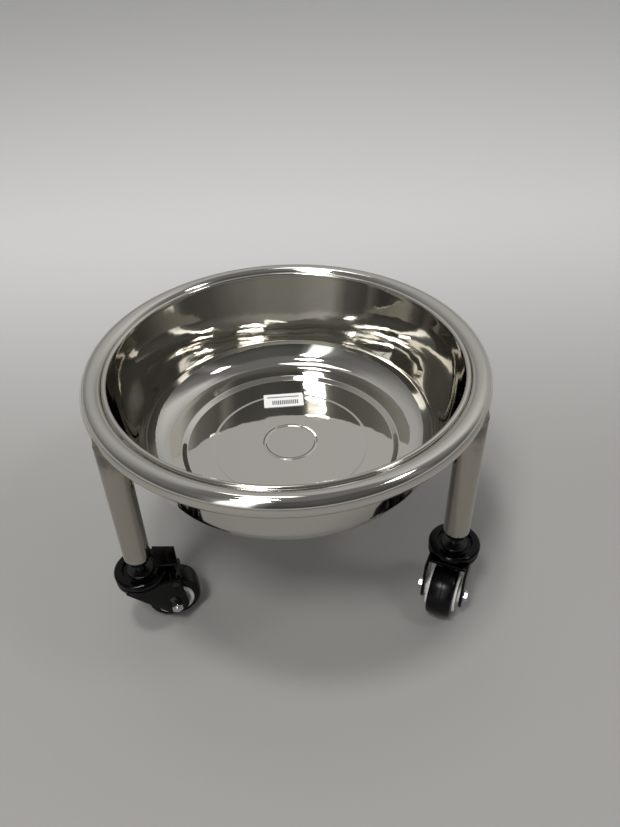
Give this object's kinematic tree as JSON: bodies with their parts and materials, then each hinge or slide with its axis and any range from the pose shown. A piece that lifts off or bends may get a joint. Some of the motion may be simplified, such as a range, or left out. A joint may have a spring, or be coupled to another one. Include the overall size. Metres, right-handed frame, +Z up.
{
  "type": "kick bucket",
  "caption": "Loose spun-metal basin resting in a round tubular ring stand whose straight legs run on swivel castors, one castor with a foot brake.",
  "frame": {"origin": "on the floor, under the centre of the ring", "axes": "+Z up; -Y is the front, with one leg at the front left and one at the front right; +Y towards the third leg"},
  "size_m": [0.3699, 0.4096, 0.24],
  "materials": {
    "frame_steel": "satin stainless tube",
    "bowl_steel": "spun and polished stainless sheet",
    "zinc_steel": "bright zinc plating",
    "ball_steel": "polished bearing steel",
    "castor_black": "glossy black enamel",
    "spring_steel": "oiled spring steel",
    "hub_white": "moulded white nylon",
    "tread_black": "smooth hard black rubber",
    "label": "plain white film"
  },
  "bodies": {
    "frame": {"ring_tube": "frame_steel", "leg_left": "frame_steel", "leg_weld_left": "frame_steel", "leg_insert_left": "zinc_steel", "castor_stem_left": "castor_black", "stem_nut_left": "castor_black", "top_race_left": "castor_black", "lower_race_left": "castor_black", "leg_right": "frame_steel", "leg_weld_right": "frame_steel", "leg_insert_right": "zinc_steel", "castor_stem_right": "castor_black", "stem_nut_right": "castor_black", "top_race_right": "castor_black", "lower_race_right": "castor_black", "leg_back": "frame_steel", "leg_weld_back": "frame_steel", "leg_insert_back": "zinc_steel", "castor_stem_back": "castor_black", "stem_nut_back": "castor_black", "top_race_back": "castor_black", "lower_race_back": "castor_black"},
    "bowl": {"bowl": "bowl_steel", "bowl_label": "label"},
    "swivel_left": {"fork_left": "castor_black", "upper_balls_left": "ball_steel", "lower_balls_left": "ball_steel", "axle_bolt_left": "zinc_steel", "axle_nut_left": "zinc_steel", "axle_sleeve_left": "zinc_steel", "brake_pin": "castor_black", "brake_spring": "spring_steel"},
    "swivel_right": {"fork_right": "castor_black", "upper_balls_right": "ball_steel", "lower_balls_right": "ball_steel", "axle_bolt_right": "zinc_steel", "axle_nut_right": "zinc_steel", "axle_sleeve_right": "zinc_steel"},
    "swivel_back": {"fork_back": "castor_black", "upper_balls_back": "ball_steel", "lower_balls_back": "ball_steel", "axle_bolt_back": "zinc_steel", "axle_nut_back": "zinc_steel", "axle_sleeve_back": "zinc_steel"},
    "wheel_left": {"wheel_hub_left": "hub_white", "wheel_tyre_left": "tread_black"},
    "wheel_right": {"wheel_hub_right": "hub_white", "wheel_tyre_right": "tread_black"},
    "wheel_back": {"wheel_hub_back": "hub_white", "wheel_tyre_back": "tread_black"},
    "brake": {"brake_lever": "castor_black"}
  },
  "joints": [
    {"name": "bowl_lift", "type": "slide", "parent": "frame", "child": "bowl", "axis": [0, 0, 1], "range_m": [0, 0.15]},
    {"name": "castor_swivel_left", "type": "hinge", "parent": "frame", "child": "swivel_left", "pos_m": [-0.14825, -0.09299, 0.065], "axis": [0, 0, 1], "continuous": true},
    {"name": "castor_swivel_right", "type": "hinge", "parent": "frame", "child": "swivel_right", "pos_m": [0.15466, -0.08189, 0.065], "axis": [0, 0, 1], "continuous": true},
    {"name": "castor_swivel_back", "type": "hinge", "parent": "frame", "child": "swivel_back", "pos_m": [-0.00641, 0.17488, 0.065], "axis": [0, 0, 1], "continuous": true},
    {"name": "wheel_spin_left", "type": "hinge", "parent": "swivel_left", "child": "wheel_left", "pos_m": [-0.12311, -0.08635, 0.026], "axis": [-0.2554, 0.9668, 0], "continuous": true},
    {"name": "wheel_spin_right", "type": "hinge", "parent": "swivel_right", "child": "wheel_right", "pos_m": [0.14342, -0.10533, 0.026], "axis": [0.9018, -0.4321, 0], "continuous": true},
    {"name": "wheel_spin_back", "type": "hinge", "parent": "swivel_back", "child": "wheel_back", "pos_m": [-0.01862, 0.19784, 0.026], "axis": [-0.8829, -0.4695, 0], "continuous": true},
    {"name": "brake_press", "type": "hinge", "parent": "swivel_left", "child": "brake", "pos_m": [-0.12069, -0.08571, 0.0565], "axis": [-0.2554, 0.9668, 0], "range_deg": [0, 20]}
  ]
}
